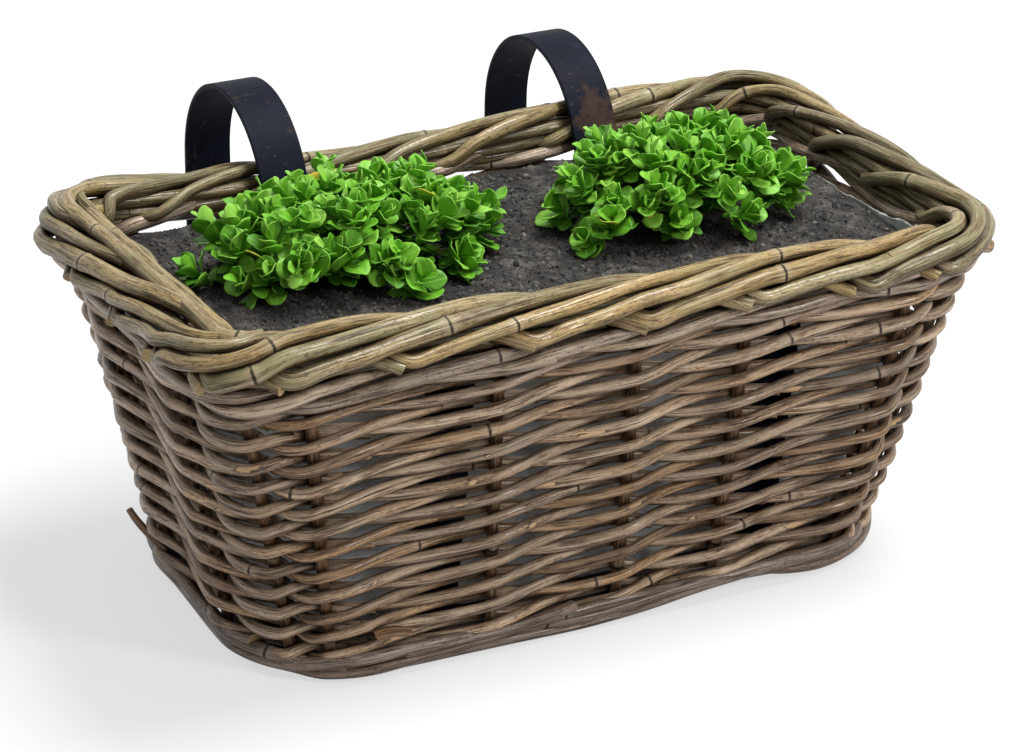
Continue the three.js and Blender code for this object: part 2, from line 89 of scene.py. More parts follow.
def wall_point(turn, z, depth):
    """Points at a depth outside the wall's middle surface; a turn counts quarters from the front's middle."""
    turn, z, depth = np.broadcast_arrays(np.asarray(turn, float), np.asarray(z, float), np.asarray(depth, float))
    length, width, radius = within(z, WALL_DEPTH)
    straight, arc, end = length - radius, radius * pi / 2, width - radius
    place = np.mod(turn, 4)
    share = np.select([place < 1, place < 2, place < 3], [place, 2 - place, place - 2], 4 - place)
    side = np.where(place < 2, 1.0, -1.0)
    face = np.where((place < 1) | (place >= 3), -1.0, 1.0)
    run = share * (straight + arc + end)
    angle = np.clip((run - straight) / radius, 0, pi / 2)
    x = np.minimum(run, straight) + (radius + depth) * np.sin(angle)
    y = end - np.maximum(run - straight - arc, 0) + (radius + depth) * np.cos(angle)
    return np.stack([side * x, face * y + SHIFT, z], -1)


def stake_turn(index, z):
    """The turn of a place counted in stakes, which may lie between two of them."""
    index, z = np.broadcast_arrays(np.asarray(index, float), np.asarray(z, float))

    def turn_of(whole):
        wrapped = np.mod(whole, STAKES)
        return FOOT_TURNS[wrapped] * (1 - z / WALL) + RIM_TURNS[wrapped] * z / WALL + (whole - wrapped) // STAKES * 4

    before = np.floor(index).astype(int)
    part = index - before
    return turn_of(before) * (1 - part) + turn_of(before + 1) * part


def on_wall(index, z, depth):
    return wall_point(stake_turn(index, z), z, depth)


def rng_for(*key):
    """A generator for each cane or clump; the key's first number is its kind."""
    return np.random.default_rng(list(key))


def drawn(rng, middle, spread, low=0.0, high=1.0):
    """A random value about the middle, held between the limits."""
    return float(np.clip(rng.normal(middle, spread), low, high))


def ripple(rng, x, length, amount):
    """A smooth random line along x, about amount either way."""
    waves = [part * np.sin(2 * pi * x / (length * part * rng.uniform(0.8, 1.3)) + rng.uniform(0, 2 * pi))
             for part in (1.0, 0.55, 0.3)]
    return sum(waves) * amount / 1.3


def catmull(table, each):
    """Rows of a table joined by a smooth line, each stretch in as many steps."""
    t = np.asarray(table, float)
    ends = np.vstack([2 * t[0] - t[1], t, 2 * t[-1] - t[-2]])
    out, u = [], np.arange(each)[:, None] / each
    for k in range(len(t) - 1):
        a, b, c, d = ends[k:k + 4]
        square, cube = 2 * a - 5 * b + 4 * c - d, 3 * b - a - 3 * c + d
        out.append(0.5 * (2 * b + (c - a) * u + square * u ** 2 + cube * u ** 3))
    out.append(t[-1:])
    return np.vstack(out)


def unit(vectors):
    return vectors / np.linalg.norm(vectors, axis=-1, keepdims=True)


def along(points):
    """Length of the way to each point."""
    return np.concatenate([[0], np.cumsum(np.linalg.norm(np.diff(points, axis=0), axis=1))])


def evenly(points, step):
    """The same line with its points a step apart."""
    run = along(points)
    at = np.linspace(0, run[-1], max(2, int(run[-1] / step) + 1))
    return np.stack([np.interp(at, run, points[:, k]) for k in range(3)], -1)


def columns(shape, *values):
    """Values spread over a grid of points, a column for each."""
    return np.stack([np.broadcast_to(value, shape) for value in values], -1)


def sheet_faces(index):
    """Four-sided faces between rows of points."""
    return np.stack([index[:-1, :-1], index[:-1, 1:], index[1:, 1:], index[1:, :-1]], -1).reshape(-1, 4)


def tube_faces(index):
    """The same for rows that are closed."""
    return sheet_faces(np.hstack([index, index[:, :1]]))


def add_object(name, data):
    made = bpy.data.objects.new(name, data)
    scene.collection.objects.link(made)
    return made


def make_mesh(name, verts, faces, vectors=None, colours=None):
    mesh = bpy.data.meshes.new(name)
    mesh.from_pydata((np.asarray(verts) * MM).tolist(), [], faces)
    for title, kind, key, values in (("cane", "VECTOR", "vector", vectors), ("look", "COLOR", "color", colours)):
        if values is not None:
            layer = mesh.attributes.new(title, "FLOAT_" + kind, "POINT")
            layer.data.foreach_set(key, np.asarray(values, np.float32).ravel())
    mesh.polygons.foreach_set("use_smooth", [True] * len(mesh.polygons))
    mesh.update()
    return add_object(name, mesh)


def settle(piece, material, body, node):
    """Puts a piece on its body in a solid's place and gives it its material."""
    piece.data.materials.append(material)
    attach(piece, body)
    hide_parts(node)


class Canes:
    """Gathers one piece's tubes. The attribute cane is a point's place on the bark; look is its tone (1 pale),
    hue (1 tan), place between two joints and whether it lies on a cut end."""

    def __init__(self):
        self.verts, self.faces, self.vectors, self.looks, self.count = [], [], [], [], 0

    def add(self, points, radii, rng, tone=None, hue=0.3, sides=10, gap=(180, 420), cuts=(0.0, 0.0)):
        points = np.asarray(points, float)
        n = len(points)
        radii = np.broadcast_to(np.asarray(radii, float), (n,)).copy()
        run = along(points)
        tangents = unit(np.gradient(points, axis=0))
        normals = [unit(np.cross(tangents[0], [0.3, 0.2, 1.0]))]
        for tangent in tangents[1:]:
            normals.append(unit(normals[-1] - tangent * (normals[-1] @ tangent)))
        normals = np.array(normals)
        ring = np.full(n, 0.5)
        if gap is not None:
            place = rng.uniform(0.1, 1) * gap[0]
            while place < run[-1] - 6:
                radii *= 1 + 0.09 * np.exp(-((run - place) / 2.6) ** 2)
                # A whole number at each joint, its mid value further than 12 mm off
                ring += np.clip((run - place) / 24, -0.5, 0.5) + 0.5
                place += rng.uniform(*gap)
        angle = np.arange(sides) * 2 * pi / sides
        wander = ripple(rng, run, 260, 0.9)[:, None]
        third = np.cos(3 * (angle - 1.3 * wander) + rng.uniform(0, 6))
        fifth = np.cos(5 * angle + 0.03 * run[:, None] + rng.uniform(0, 6))
        shape = (1 + (0.055 * np.cos(2 * (angle + wander)) + 0.035 * third)) * (1 + 0.02 * fifth)
        cosine, sine = np.cos(angle), np.sin(angle)
        outward = cosine[:, None] * normals[:, None] + sine[:, None] * np.cross(tangents, normals)[:, None]
        body = points[:, None] + (radii[:, None] * shape)[..., None] * outward
        # Slanted cuts at the two ends
        for end, slant in ((0, -cuts[0]), (-1, cuts[1])):
            if slant:
                body[end] += slant * radii[end] * np.cos(angle + rng.uniform(0, 6))[:, None] * tangents[end]
        start = rng.uniform(0, 4000)
        tone = rng.uniform(0.25, 0.85) if tone is None else tone
        self.faces += tube_faces(self.count + np.arange(n * sides).reshape(n, sides)).tolist()
        self.verts.append(body.reshape(-1, 3))
        self.vectors.append(columns((n, sides), 3.2 * cosine, 3.2 * sine, run[:, None] + start).reshape(-1, 3))
        self.looks.append(columns((n, sides), tone, hue, ring[:, None], 0.0).reshape(-1, 4))
        self.count += n * sides
        # Caps with their own corners, so that the cut face stays crisp
        for end, order in ((0, -1), (n - 1, 1)):
            rim = body[end]
            middle = rim.mean(0)
            inner = middle + (rim - middle) * 0.45
            self.verts.append(np.vstack([rim, inner, middle[None]]))
            flat = [columns((sides,), reach * cosine, reach * sine, start) for reach in (4.0, 1.8)]
            self.vectors.append(np.vstack(flat + [[[0, 0, start]]]))
            self.looks.append(np.tile([tone, hue, 0.5, 1.0], (2 * sides + 1, 1)))
            loops = self.count + np.arange(2 * sides).reshape(2, sides)
            self.count += 2 * sides + 1
            cap = tube_faces(loops).tolist()
            cap += columns((sides,), loops[1], np.roll(loops[1], -1), self.count - 1).tolist()
            self.faces += [face[::order] for face in cap]

    def build(self, name, material, lower=None, split=0.0):
        """Puts the tubes in a solid's place; below the split height they take the lower material."""
        verts, vectors, looks = [np.vstack(rows) for rows in (self.verts, self.vectors, self.looks)]
        piece = make_mesh(name + "_cane", verts, self.faces, vectors, looks)
        settle(piece, material, "basket", name)
        if lower is not None:
            piece.data.materials.append(lower)
            for face in piece.data.polygons:
                face.material_index = int(face.center.z < split * MM)


# Materials
def srgb(r, g, b):
    """A colour written as in the picture, for a shader."""
    lin = [(c / 255 / 12.92) if c / 255 <= 0.04045 else ((c / 255 + 0.055) / 1.055) ** 2.4 for c in (r, g, b)]
    return (*lin, 1.0)


class Shader:
    """A short way to write the nodes of a material or a world."""

    def __init__(self, name, kind=bpy.data.materials):
        self.owner = kind.new(name)
        self.owner.use_nodes = True
        self.tree = self.owner.node_tree
        self.bsdf = self.tree.nodes.get("Principled BSDF")

    def node(self, kind, *numbered, settings={}, **named):
        """A node with its settings, and its sockets by number or by name."""
        made = self.tree.nodes.new("ShaderNode" + kind)
        for key, value in settings.items():
            setattr(made, key, value)
        for key, value in list(enumerate(numbered)) + list(named.items()):
            self.put(value, made.inputs[key.replace("_", " ") if key in named else key])
        return made

    def put(self, value, socket):
        if isinstance(value, bpy.types.NodeSocket):
            self.tree.links.new(value, socket)
        else:
            socket.default_value = value

    def math(self, operation, a, b=0.0, clamp=False):
        return self.node("Math", a, b, settings={"operation": operation, "use_clamp": clamp}).outputs[0]

    def times(self, a, b):
        return self.math("MULTIPLY", a, b)

    def plus(self, a, b):
        return self.math("ADD", a, b)

    def mix(self, factor, a, b, blend="MIX"):
        made = self.node("Mix", factor, settings={"data_type": "RGBA", "blend_type": blend})
        self.put(a, made.inputs[6])
        self.put(b, made.inputs[7])
        return made.outputs[2]

    def ramp(self, value, *stops):
        made = self.node("ValToRGB", Fac=value)
        marks = made.color_ramp.elements
        while len(marks) < len(stops):
            marks.new(0.5)
        for mark, (place, colour) in zip(marks, stops):
            mark.position = place
            mark.color = colour if len(colour) == 4 else (*colour, 1)
        return made.outputs[0]

    def step(self, value, low, high):
        """0 at low and 1 at high, with a smooth step between them."""
        return self.node("MapRange", value, low, high, settings={"interpolation_type": "SMOOTHSTEP"}).outputs[0]

    def noise(self, vector, scale, detail=2.0, rough=0.5, distortion=0.0):
        shape = {"Scale": scale, "Detail": detail, "Roughness": rough, "Distortion": distortion}
        return self.node("TexNoise", Vector=vector, **shape).outputs["Fac"]

    def stretched(self, vector, factors, *shape):
        """Noise whose scale differs along the three axes."""
        scaled = self.node("VectorMath", vector, factors, settings={"operation": "MULTIPLY"}).outputs[0]
        return self.noise(scaled, 1.0, *shape)

    def tint(self, base, mask, share, colour):
        """The colour laid over the base by a share of the mask."""
        return self.mix(self.times(mask, share), base, colour)

    def bump(self, height, distance, strength):
        return self.node("Bump", Height=height, Distance=distance, Strength=strength).outputs[0]

    def position(self):
        return self.node("NewGeometry").outputs["Position"]

    def looks(self):
        """The four channels of the attribute look."""
        look = self.node("Attribute", settings={"attribute_name": "look"})
        parts = self.node("SeparateColor", Color=look.outputs["Color"]).outputs
        return parts[0], parts[1], parts[2], look.outputs["Alpha"]

    def surface(self, **inputs):
        """Sets the shader's own sockets and gives the material."""
        for key, value in inputs.items():
            self.put(value, self.bsdf.inputs[key.replace("_", " ")])
        return self.owner


def cane_material(name, *colours, peeled=0.0):
    """Cane with ridged and streaked bark, specks, dark rings at the joints and pale cut ends, with painted shade in the
    crevices and on the undersides and painted light on the tops. peeled is the level of noise from which on the bark
    has come off, or 0."""
    s = Shader(name)
    grey, tan, brown, dark = [srgb(*colour) for colour in colours]
    # Colours of the painted shade on the canes' undersides and of the painted light on their tops
    underside_shade_brown = tuple(c * f for c, f in zip(brown, (0.42, 0.36, 0.3))) + (1,)
    top_light_grey = tuple(min(c * 1.35, 1) for c in grey[:3]) + (1,)
    cane = s.node("Attribute", settings={"attribute_name": "cane"}).outputs["Vector"]
    tone, hue, joint, cut = s.looks()
    patches = s.stretched(cane, (0.10, 0.10, 0.016), 2.0, 0.6)
    blotch = s.stretched(cane, (0.45, 0.45, 0.05), 5.0, 0.7)
    streaks = s.stretched(cane, (0.9, 0.9, 0.016), 5.0, 0.68)
    ridges = s.stretched(cane, (1.5, 1.5, 0.03), 4.0, 0.66)
    specks = s.stretched(cane, (2.0, 2.0, 0.28), 3.0, 0.75)
    off = s.plus(s.math("PINGPONG", joint, 0.5), s.times(s.plus(streaks, -0.5), 0.05))
    ring, collar = s.step(off, 0.052, 0.022), s.step(off, 0.3, 0.06)
    share = s.math("ADD", hue, s.times(s.plus(patches, -0.5), 2.4), True)
    base, straw = s.mix(share, grey, tan), s.mix(0.5, tan, (0.62, 0.55, 0.45, 1))
    base = s.tint(base, s.step(blotch, 0.5, 0.6), 0.7, brown)
    shade = s.plus(s.times(tone, 0.45), s.times(streaks, 0.75))
    light = s.ramp(shade, (0.24, (0.38, 0.35, 0.33)), (0.52, (0.92, 0.9, 0.88)), (0.84, (1.5, 1.48, 1.42)))
    base = s.mix(1.0, base, light, "MULTIPLY")
    line = s.step(streaks, 0.44, 0.38)
    base = s.tint(base, line, 0.8, dark)
    fine = s.step(ridges, 0.46, 0.4)
    base = s.tint(base, fine, 0.78, dark)
    base = s.tint(base, s.step(ridges, 0.54, 0.62), 0.45, straw)
    spots = s.times(s.step(specks, 0.56, 0.61), s.step(patches, 0.4, 0.52))
    base = s.tint(base, spots, 0.85, dark)
    if peeled:
        # Strips where the bark has come off, pale inside a dark broken edge
        bark = s.stretched(cane, (0.13, 0.13, 0.024), 3.0, 0.6)
        base = s.tint(base, s.step(bark, peeled - 0.03, peeled - 0.01), 0.7, dark)
        bare = s.mix(s.times(streaks, 0.6), srgb(214, 178, 136), srgb(150, 112, 76))
        base = s.mix(s.step(bark, peeled, peeled + 0.008), base, bare)
    base = s.tint(base, collar, 0.3, straw)
    base = s.tint(base, ring, 0.94, srgb(20, 14, 10))
    wood = (0.3, srgb(112, 86, 54)), (0.55, srgb(186, 158, 112)), (0.8, srgb(214, 190, 150))
    wood = s.ramp(s.noise(cane, 1.1, 3.0, 0.7), *wood)
    base = s.mix(s.step(cut, 0.4, 0.6), base, wood)
    # Painted shade and light by the face's slant: faces turned down are darkened to brown, faces turned up are
    # lightened to grey in places
    up = s.node("SeparateXYZ", Vector=s.node("NewGeometry").outputs["Normal"]).outputs[2]
    base = s.tint(base, s.step(up, 0.15, -0.75), 0.62, underside_shade_brown)
    painted_top_light = s.times(s.step(up, 0.1, 0.9), s.step(blotch, 0.62, 0.4))
    base = s.tint(base, painted_top_light, 0.3, top_light_grey)
    # Painted shade: the base colour darkens in the crevices and gaps between the canes, where little sky is seen
    open_sky = s.node("AmbientOcclusion", settings={"samples": 6}, Distance=0.013).outputs["AO"]
    painted_crevice_shade = s.ramp(open_sky, (0.1, (0.1, 0.08, 0.06)), (0.42, (0.57, 0.53, 0.49)), (0.72, (1.0, 1.0, 1.0)))
    base = s.mix(1.0, base, painted_crevice_shade, "MULTIPLY")
    # The varnish is missing in the dark marks and in the hollows
    marks = s.math("MAXIMUM", line, s.math("MAXIMUM", fine, spots))
    marks = s.math("MAXIMUM", ring, s.times(marks, 0.8))
    clean = s.times(s.math("SUBTRACT", 1.0, marks), s.step(open_sky, 0.08, 0.55))
    gloss = s.plus(0.24, s.times(s.step(patches, 0.42, 0.6), 0.34))
    height = s.plus(s.times(streaks, 0.6), s.times(ridges, 0.6))
    height = s.plus(height, s.times(specks, 0.25))
    rough = s.plus(0.28, s.times(streaks, 0.36))
    coat = s.times(clean, gloss)
    return s.surface(Base_Color=base, Roughness=rough, Specular_IOR_Level=0.16, Coat_Weight=coat, Coat_Roughness=0.2,
                     Normal=s.bump(height, 0.0014, 0.85))


# Grey or green, tan and brown bark, and the dark marks
DARK = (40, 29, 21)
weaver_mat = cane_material("weaver_cane", (173, 153, 132), (162, 125, 84), (104, 74, 50), DARK, peeled=0.672)
wale_mat = cane_material("wale_cane", (168, 152, 136), (150, 128, 96), (110, 88, 66), DARK)
border_mat = cane_material("border_cane", (120, 115, 84), (160, 133, 86), (104, 80, 48), (44, 32, 18))
stake_mat = cane_material("stake_cane", (104, 78, 54), (122, 84, 50), (70, 48, 32), DARK)
foot_mat = cane_material("foot_cane", (140, 124, 114), (122, 98, 78), (92, 72, 58), DARK)


# Weave: each strand is a line of canes whose ends lie inside the wall
WALE_ROW = 40


def strand_points(index, height, depth, rise, which, row):
    """A strand of a pair passes outside one stake and inside the next."""
    rng = rng_for(7, row, which)
    # How near the strand's wave comes to a straight zigzag
    peak = 0.965
    swing = np.arcsin(peak * np.cos(pi * (index + which))) / asin(peak)
    level = height + rise * np.sin(pi * (index + which))
    level = level + ripple(rng_for(3, row // 2), index, 5.0, 0.9) + ripple(rng, index, 2.3, 0.55)
    out = depth * swing + ripple(rng, index, 1.7, 0.35)
    return on_wall(index, level, out)


WALE_STEPS = np.array([(1.0, -1.0), (1.06, 0.0), (1.0, 1.0), (0.0, 1.0), (-1.0, 0.0), (0.0, -1.0)])


def wale_points(index, height, depth, rise, which, row):
    """A strand of the wale passes outside two stakes and inside the third."""
    rng = rng_for(7, row, which)
    step = np.mod(2 * (index - which), 6)
    ring = np.array([catmull(WALE_STEPS[(np.arange(4) + k - 1) % 6], 50)[50:100] for k in range(6)]).reshape(-1, 2)
    out, up = [np.interp(step * 50, np.arange(301), column) for column in np.vstack([ring, ring[:1]]).T]
    level = height + rise * up + ripple(rng, index, 2.3, 0.4)
    return on_wall(index, level, depth * out + ripple(rng, index, 1.7, 0.3))


def lengths(rng, choices):
    """How many stakes each cane of a ring passes; none is left with only one or two."""
    left = STAKES
    while left > 0:
        count = min(left, int(rng.choice(choices)))
        if left - count in (1, 2):
            count = left
        yield count
        left -= count


def weave_row(name, height, depth, rise, diameter, which, row, material, hue):
    """One strand all the way round."""
    rng = rng_for(11, row, which)
    canes = Canes()
    start = int(rng.integers(0, 9)) * 2 + 1 - which
    line = wale_points if row == WALE_ROW else strand_points
    for count in lengths(rng, [4, 6, 8]):
        index = np.arange(start - 0.32, start + count + 0.3, 0.004)
        points = evenly(line(index, height, depth, rise, which, row), 2.6)
        run = along(points)
        size = diameter / 2 * rng.uniform(0.98, 1.2) * (1 + ripple(rng, run, 170, 0.06))
        # The ends slip behind the strand that goes on
        points[:, 2] += 1.6 * np.exp(-run / 12) - 1.6 * np.exp(-(run[-1] - run) / 12)
        own_hue, tone = drawn(rng, hue, 0.3), drawn(rng, 0.5, 0.36, -0.15, 1.25)
        canes.add(points, size, rng, hue=own_hue, tone=tone, cuts=(0.6, 0.6), gap=(400, 1300))
        start += count
    canes.build(name, material)


last_row = WALE_Z - WALE_RISE - WALE_D / 2 - GAP - WEAVE_RISE - WEAVER_D / 2
pitch = (last_row - FIRST_ROW) / (ROWS - 1)
for row in range(ROWS):
    for which in (0, 1):
        weave_row("weaver_%02d%s" % (row + 1, "ab"[which]), FIRST_ROW + row * pitch, WEAVE_DEPTH, WEAVE_RISE, WEAVER_D,
                  which, row, weaver_mat, 0.32)
for which in range(3):
    weave_row("wale_" + "abc"[which], WALE_Z, WALE_DEPTH, WALE_RISE, WALE_D,
              which, WALE_ROW, wale_mat, 0.25)

# Stakes, their tops rolled into the border: share of the way to the next stake, depth, height over the
# border's middle. The rod comes out under its neighbour, turns sharply, crosses over the top and dives in.
ROLL = [
    (-0.06, -3.0, -2.0), (-0.14, 1.8, -0.6), (-0.12, 6.0, -2.4), (-0.07, 9.8, -4.0),
    (-0.02, 13.2, -5.4), (0.04, 15.6, -6.6), (0.1, 16.2, -6.5), (0.18, 15.8, -5.4),
    (0.35, 14.8, -3.0), (0.7, 13.4, 0.8), (1.0, 12.0, 4.0), (1.4, 9.2, 7.2), (1.9, 4.4, 9.8), (2.4, -2.2, 10.6),
    (2.9, -8.8, 8.4), (3.25, -12.2, 2.6), (3.45, -10.6, -4.0),
    (3.57, -5.0, -7.4), (3.65, 1.6, -6.6), (3.71, 6.6, -6.0), (3.77, 11.2, -6.4), (3.91, 17.6, -9.6),
]
# Turns of the border's rods, which stand closer together than the stakes
PLACES = np.array([
    -0.395, -0.19, 0.01, 0.215, 0.42, 0.57, 0.68, 0.86, 1.04, 1.21, 1.36, 1.48,
    1.66, 1.86, 2.06, 2.26, 2.44, 2.58, 2.68, 2.86, 3.04, 3.22, 3.335, 3.415,
])


def border_turn(index):
    """The turn of a place counted in the border's rods."""
    whole = np.arange(-len(PLACES), 2 * len(PLACES))
    return np.interp(index, whole, np.concatenate([PLACES - 4, PLACES, PLACES + 4]))


# Turn and lift of the border's middle
LIFTS = [
    (-1.0, 1.0), (-0.72, 6.0), (-0.57, 11.0), (-0.38, 7.6), (-0.27, 7.2), (-0.17, 5.6), (-0.05, 3.6), (0.23, 4.0),
    (0.43, -2.0), (0.6, -1.5), (1.0, 0.0), (1.7, -1.5), (1.9, -3.2), (2.1, -6.5), (2.32, -6.5), (2.48, -5.0),
    (2.62, -1.5), (3.0, 1.0),
]


def border_lift(turn):
    """The border sags and rises a little on its way round."""
    at, lift = np.array(LIFTS).T
    return np.interp(np.mod(turn + 1, 4) - 1, at, lift)


def rolled(canes, k, rng, radius, hue, tone):
    """One rod of the border, from its place on."""
    rows, loose, slip = [], rng.normal(0, 0.8), rng.normal(0, 0.06)
    for share, depth, rise in ROLL:
        jog = rng.normal(0, 0.6, 2) + loose if 0.3 < share < 3.3 else (0.0, 0.0)
        late = slip if share > 3.5 else 0.0
        rows.append((k + share + late, BORDER_Z + rise + jog[0], depth + jog[1]))
    line = catmull(rows, 24)
    turn = border_turn(line[:, 0])
    # The left end's rods spread further inwards
    spread = np.clip(1.5 - np.abs(np.mod(turn, 4) - 3.0) * 2.4, 0, 1)
    line[:, 2] -= spread * 0.8 * np.clip(-line[:, 2], 0, 14)
    # Where the border sags, its outer rods stay outside the wale
    line[:, 2] += 0.5 * np.clip(-border_lift(turn) - 1, 0, 5) * np.clip((line[:, 2] - 4) / 6, 0, 1)
    points = evenly(wall_point(turn, line[:, 1] + border_lift(turn), line[:, 2]), 1.8)
    size = np.linspace(radius, radius * 0.93, len(points)) * (1 + ripple(rng, along(points), 150, 0.04))
    canes.add(points, size, rng, hue=hue, tone=tone, sides=14, cuts=(0.3, 0.25), gap=(230, 640))


# Two long rods along the left end's top, cut at the front corner: turn, depth, height
LOOSE = [
    [(2.46, 4.0, 4.0), (2.52, 1.0, 9.0), (2.7, -4.0, 12.6), (2.95, -9.0, 12.8), (3.2, -13.0, 10.6), (3.42, -13.6, 7.6)],
    [(2.6, -12.0, 1.0), (2.7, -15.5, 6.0), (2.95, -18.0, 7.4), (3.2, -19.5, 6.0), (3.38, -20.0, 4.0)],
]
# The border's tone by place holds painted light and shade: it is palest at the front's left and along the right end,
# which lie in more shade, and darker at the front's right, which the key lamp lights most
TONE_PLACES = [-0.4, 0.1, 0.35, 0.62, 0.85, 1.4, 2.0, 3.0, 3.4]
TONES_AND_PAINTED_LIGHT = [0.65, 0.6, 0.3, 0.1, 0.7, 0.8, 0.5, 0.45, 0.6]


def nearest_stake(turn):
    return int(np.argmin(np.abs(np.mod(RIM_TURNS - turn + 2, 4) - 2)))


# Short broken ends: the turn of the stake that they sit by, turn, height and depth of their two ends, and their radius
TWIGS = [
    (2.74, ((2.86, 19.0, 3.5), (2.75, 31.0, 15.0)), 2.6),
    (3.48, ((3.50, 30.0, 9.0), (3.56, 31.0, 14.5)), 3.8),
    (0.47, ((0.50, 198.0, 7.0), (0.455, 213.0, 12.0)), 4.2),
]
# Rods that close the border inside: depth, height over its middle, share of its lift
CORE = [(2.8, -0.6, 1.0), (-4.6, 1.8, 1.0), (-3.4, -5.6, 1.0), (0.6, -8.2, 0.5), (-1.5, -13.0, 0.2)]
STAKE_LOW, BORDER_LOW = 8.0, 191.0
for k in range(STAKES):
    rng = rng_for(23, k)
    canes = Canes()
    z = np.linspace(STAKE_LOW, BORDER_Z - 2.0 + border_lift(stake_turn(k, WALL)), 90)
    canes.add(on_wall(k, z, ripple(rng, z, 120, 0.5)), 3.5, rng, hue=0.3, gap=(90, 200))
    index = np.arange(k - 0.05, k + 1.05, 0.02)
    for depth, rise, share in CORE:
        turn = stake_turn(index, WALL)
        core = wall_point(turn, BORDER_Z + rise + share * border_lift(turn), depth + ripple(rng, index, 0.9, 0.5))
        canes.add(core, 4.3, rng, hue=0.2, tone=0.2, gap=None)
    if k == nearest_stake(3.0):
        for table in LOOSE:
            line = catmull(table, 30)
            turn = line[:, 0]
            points = evenly(wall_point(turn, BORDER_Z + line[:, 2] + border_lift(turn), line[:, 1]), 1.8)
            tone = rng.uniform(0.4, 0.9)
            canes.add(points, 4.9, rng, hue=0.55, tone=tone, sides=14, cuts=(0.3, 0.25), gap=(150, 300))
    for b, place in enumerate(PLACES):
        if k == nearest_stake(place):
            front = (0.5 + 0.5 * cos((place + 0.25) * pi / 2)) ** 2
            hue = drawn(rng, 0.08 + 0.5 * front, 0.36)
            tone = np.interp(place, TONE_PLACES, TONES_AND_PAINTED_LIGHT) + rng.uniform(-0.35, 0.35)
            rolled(canes, b, rng, 4.6 + rng.normal(0, 0.35), hue, tone)
    for place, ends, radius in TWIGS:
        if k == nearest_stake(place):
            turn, z, depth = np.linspace(*ends, 12).T
            twig = wall_point(turn, z + 1.5 * np.sin(np.linspace(0, pi, 12)), depth)
            canes.add(twig, np.linspace(radius, radius * 0.8, 12), rng, hue=0.8, tone=0.9, gap=None, cuts=(0.2, 0.6))
    canes.build("stake_%02d" % (k + 1), border_mat, stake_mat, BORDER_LOW)


# Foot: three long canes cross in slow uneven waves outside the stakes, and three inside
def foot_ring(name, depth, spread, seed, side):
    """The canes of one side; side is 1 outside the stakes and -1 inside."""
    canes = Canes()
    for which in range(3):
        rng = rng_for(31, seed, which)
        start = which * 2
        wave = rng_for(33, seed, which)
        for count in lengths(rng, [5, 6, 8]):
            index = np.arange(start - 0.6, start + count + 0.6, 0.004)
            phase = 2 * pi * (index / 5.0 + which / 3.0) + ripple(wave, index, 7.0, 0.25)
            level = 9.4 + 4.9 * np.sin(phase) + ripple(wave, index, 3.1, 0.5)
            out = depth + spread * np.cos(phase) + side * 1.3 * np.clip(np.sin(phase), 0, 1)
            level = np.maximum(level, 4.4)
            points = evenly(on_wall(index, level, out), 3.0)
            run = along(points)
            if side > 0:
                points[:, 0] += 3.0 * np.clip(-(points[:, 0] + 150) / 50, 0, 1)
            points[:, 2] += 4.0 * np.exp(-run / 16) + 4.0 * np.exp(-(run[-1] - run) / 16)
            size = 3.65 * rng.uniform(0.92, 1.12) * (1 + ripple(rng, run, 190, 0.05))
            hue, tone = drawn(rng, 0.3, 0.3), rng.uniform(0.1, 0.9)
            canes.add(points, size, rng, hue=hue, tone=tone, sides=12, cuts=(0.4, 0.4), gap=(260, 800))
            start += count
    canes.build(name, foot_mat)


foot_ring("foot_outer", FOOT_DEPTH - 1.2, 1.4, 1, 1)
foot_ring("foot_inner", -FOOT_DEPTH - 0.3, 1.2, 2, -1)

# Floor of lengthwise canes, open where the hangers pass
HANGER_X = (-99.0, 111.0)
HANGER_W, HANGER_T = 30.0, 3.0
HANGER_GAP = HANGER_W / 2 + 2
MAT_LOW, MAT_R, MAT_STEP = FOOT_D - 0.5 + GAP, 5.0, 8.6
MAT_Z = MAT_LOW + MAT_R
canes = Canes()
length, width, radius = within(MAT_Z, 2 * WALL_DEPTH)
for k in range(-11, 12):
    rng = rng_for(41, k + 20)
    y = k * MAT_STEP
    if abs(y) > width - 3:
        continue
    past = max(abs(y) - (width - radius), 0)
    reach = length - radius + sqrt(max(radius ** 2 - past ** 2, 0)) - 1
    spans = [(-reach, reach)]
    if abs(y) > width - 14:
        ends = [-reach] + [x + gap for x in HANGER_X for gap in (-HANGER_GAP, HANGER_GAP)] + [reach]
        spans = [(low, high) for low, high in zip(ends[::2], ends[1::2]) if high - low > 8]
    for low, high in spans:
        x = np.linspace(low, high, max(4, int((high - low) / 8)))
        points = np.stack([x, y + SHIFT + ripple(rng, x, 240, 0.3), MAT_Z - 0.5 + ripple(rng, x, 200, 0.25)], -1)
        canes.add(points, 4.35, rng, hue=float(rng.uniform(0, 0.7)), sides=10, cuts=(0.3, 0.3))
canes.build("base_mat", foot_mat)
for at, name in enumerate(("base_stick_left", "base_stick_middle", "base_stick_right")):
    rng = rng_for(43, at)
    low, high = np.array(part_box(name)) / MM
    x, _, z = (low + high) / 2
    canes = Canes()
    canes.add(columns((30,), x, np.linspace(low[1], high[1], 30), z), 3.1, rng, hue=0.5, cuts=(0.6, 0.6))
    canes.build(name, stake_mat)

# Hangers: flat strip with eased edges, bent over the rail. The places are on its middle line.
HOOK_R, HOOK_Z, LEG_END = 63.0, 185.6, 112.0
FRONT_TOP, BEND = 181.0, 7.0
HALF_T = HANGER_T / 2
FOOT_Y = within(MAT_LOW, 2 * WALL_DEPTH)[1] - 4.4 - HALF_T
FOOT_Z = MAT_LOW - GAP - HALF_T
HOOK_REACH = HOOK_R - HALF_T - GAP - BORDER_REACH
BORDER_Y = within(BORDER_Z, WALL_DEPTH)[1]
REAR_Y = BORDER_Y + sqrt(HOOK_REACH ** 2 - (BORDER_Z - HOOK_Z) ** 2) - HOOK_R
FRONT_Y = within(FRONT_TOP, 2 * WALL_DEPTH)[1] - 1 - HALF_T


